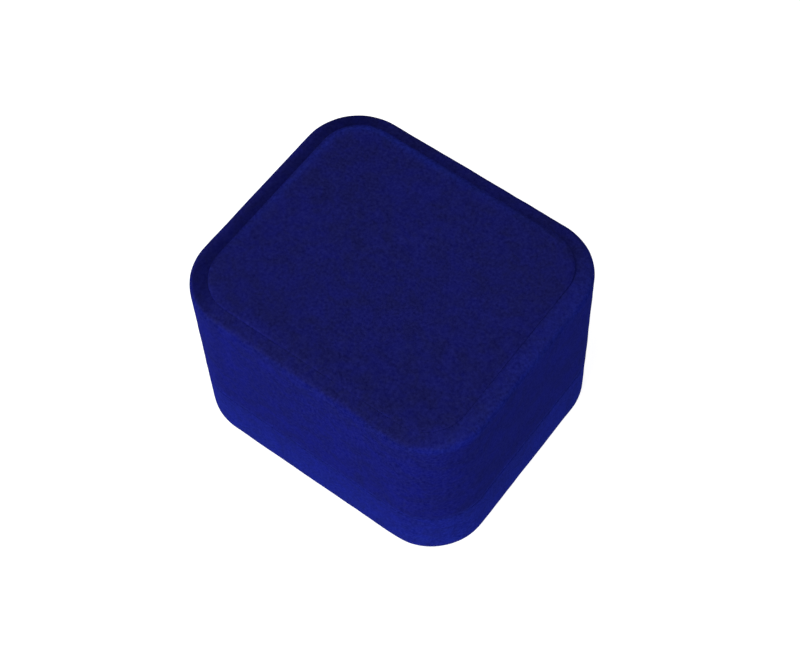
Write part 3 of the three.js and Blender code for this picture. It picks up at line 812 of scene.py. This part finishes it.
def make_ceiling_pad(material):
    """Satin over wadding in the lid's ceiling: a full pad, drawn in round its edge with small puckers."""
    low, high = SATIN_LOW, SATIN_HIGH
    loop = Loop(low, high, CORNER - HALF_X + high.x, SATIN_STEP)
    edge = low.z + SATIN_EDGE
    start = [(0.5 * MM, high.z), (SATIN_GAP, high.z - 0.4 * MM), (SATIN_GAP, edge)]
    rings = [loop.ring(inset, z) for inset, z in start]
    profile = arc((SATIN_EDGE, edge), SATIN_EDGE - SATIN_GAP, SATIN_ROUND, -10, -90, 6)
    for i in range(1, 9):
        sag = SATIN_SAG * math.sin(math.pi / 2 * i / 8)
        profile.append((SATIN_EDGE + i * SATIN_SHOULDER, edge - SATIN_ROUND - sag))
    rings += [loop.ring(inset, z) for inset, z in profile]
    inset, z = SATIN_EDGE + 8 * SATIN_SHOULDER, edge - SATIN_ROUND - SATIN_SAG - 0.02 * MM
    rings += [loop.shrunk(inset, z, 1 - i / SATIN_ROWS) for i in range(1, SATIN_ROWS)]
    piece = mesh_object("lid_satin_pad", rings, closed_profile=False, capped=True)
    rest = [vertex.co.copy() for vertex in piece.data.vertices]
    simulate(piece, lambda p: smoothstep(edge - 0.1 * MM, high.z - 0.3 * MM, p.z), SATIN_SHRINK)
    cap_travel(piece, rest, SATIN_TRAVEL)
    keep_over(piece, "lid_lining_wadding", lambda p: p.z < high.z - 0.6 * MM)
    finished(piece, "lid", material, "lining_satin", "lid_lining_satin")


STRIP_INSET = 2.4 * MM  # of the strip from the case's outside, at the corners
STRIP_SKIN, STRIP_ROWS, STRIP_STEP = 0.4 * MM, 16, 0.5 * MM
RIPPLE_HEIGHT, RIPPLES, RIPPLES_UP = 0.10 * MM, 420, 40  # ripples per metre, along the strip and up it
HINGE_SIDE, HINGE_OVER = 1 * MM, 0.6 * MM  # room between the leaf and the satin round it


def make_wall_lining(material):
    """Satin strip round the inside wall, with soft upright ripples, cut away in front of the hinge."""
    low, high = STRIP_LOW.z, STRIP_HIGH.z
    loop = Loop(STRIP_LOW, STRIP_HIGH, CORNER - STRIP_INSET, STRIP_STEP)
    opening = LEAF_HIGH.x + HINGE_SIDE
    top_of_opening = LEAF_HIGH.z + HINGE_OVER
    profile = [(0, low)] + line((0, low), (0, high), STRIP_ROWS)
    profile += [(STRIP_SKIN, high)] + line((STRIP_SKIN, high), (STRIP_SKIN, low), STRIP_ROWS)
    rings = []
    for inset, z in profile:
        ring = loop.ring(inset + lean(z), z)
        for place, normal in zip(ring, loop.normals):
            if inset > 0:
                fold = noise.noise(Vector((place.x * RIPPLES, place.y * RIPPLES, z * RIPPLES_UP)))
                place -= Vector((*normal, 0)) * (RIPPLE_HEIGHT * (1 + fold))
            if place.y > 0 and abs(place.x) < opening:
                place.z = top_of_opening + (place.z - low) * (high - top_of_opening) / (high - low)
        rings.append(ring)
    piece = mesh_object("lid_satin_strip", rings, closed_profile=True)
    finished(piece, "lid", material, "lining_satin", "lid_lining_wall")


# ---------- CAD nodes that stay ----------

STEEL_EDGE = 0.05 * MM


def soften(node):
    """Small rounded edges on a steel part."""
    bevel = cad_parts[node].modifiers.new("edge", "BEVEL")
    bevel.width = STEEL_EDGE
    bevel.segments = 2
    bevel.limit_method = "ANGLE"
    bevel.angle_limit = math.radians(40)
    bevel.harden_normals = False


def cad_material(node, material):
    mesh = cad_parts[node].data
    mesh.materials.clear()
    mesh.materials.append(material)


def dress_cad_nodes():
    plastic, board = moulded_plastic("moulded_plastic"), grey_board("grey_board")
    cream_foam, steel = open_foam("cream_foam"), plated_steel("plated_steel")
    kept = {
        plastic: ("base_shell", "lid_shell"),
        board: ("collar_frame", "insert_card", "lid_top_card", "lid_lining_card"),
        cream_foam: ("insert_foam_front", "insert_foam_rear", "lid_lining_wadding"),
        steel: (
            "base_hinge_leaf", "lid_hinge_leaf", "hinge_pin", "hinge_spring", "base_rivet_left",
            "base_rivet_right", "spring_rivet", "lid_rivet_left", "lid_rivet_right",
        ),
    }
    for material, nodes in kept.items():
        for node in nodes:
            cad_material(node, material)
    for node in kept[steel]:
        soften(node)


# ---------- studio ----------

FLOOR_HALF = 1.5
LIGHT_DISTANCE, LIGHT_SIZE = 0.9, 0.5
SKY_STRENGTH = 0.4
LIGHTS = {  # azimuth and elevation in degrees, and power in watts
    "key": (0, 20, 10.8),
    "right_low": (60, 20, 1.5),
    "right_top": (90, 70, 2.3),
    "left_top": (-30, 70, 2.6),
}


def make_floor():
    bm = bmesh.new()
    signs = ((-1, -1), (1, -1), (1, 1), (-1, 1))
    bm.faces.new([bm.verts.new((x * FLOOR_HALF, y * FLOOR_HALF, 0)) for x, y in signs])
    floor = object_from("floor", bm)
    floor.data.materials.append(pale_floor("pale_floor"))


def area_light(name, azimuth, elevation, power):
    data = bpy.data.lights.new(name, "AREA")
    data.shape, data.size, data.energy = "DISK", LIGHT_SIZE, power
    light = bpy.data.objects.new(name, data)
    bpy.context.scene.collection.objects.link(light)
    toward = direction(azimuth, elevation)
    light.location = toward * LIGHT_DISTANCE
    light.rotation_mode = "QUATERNION"
    light.rotation_quaternion = (-toward).to_track_quat("-Z", "Y")


def make_studio():
    scene = bpy.context.scene
    scene.view_settings.view_transform = "Standard"
    world = bpy.data.worlds.new("studio")
    world.use_nodes = True
    sky = world.node_tree.nodes["Background"]
    sky.inputs["Color"].default_value = (1.0, 1.0, 1.0, 1.0)
    sky.inputs["Strength"].default_value = SKY_STRENGTH
    scene.world = world
    for name, (azimuth, elevation, power) in LIGHTS.items():
        area_light(name, azimuth, elevation, power)
    make_floor()


# ---------- the box ----------

make_camera()
case_cloth = velvet("case_velvet")
insert_cloth = velvet("insert_velvet", lighten=0.7)
lining_cloth = satin("ivory_satin")
make_lid_wrap(case_cloth)
make_base_wrap(case_cloth)
make_top_panel(case_cloth)
make_bottom_cover(case_cloth)
make_collar(insert_cloth)
make_ring_pad("insert_velvet_front", "insert_foam_front", "ring_pad_front", insert_cloth)
make_ring_pad("insert_velvet_rear", "insert_foam_rear", "ring_pad_rear", insert_cloth)
make_ceiling_pad(lining_cloth)
make_wall_lining(lining_cloth)
dress_cad_nodes()
make_studio()
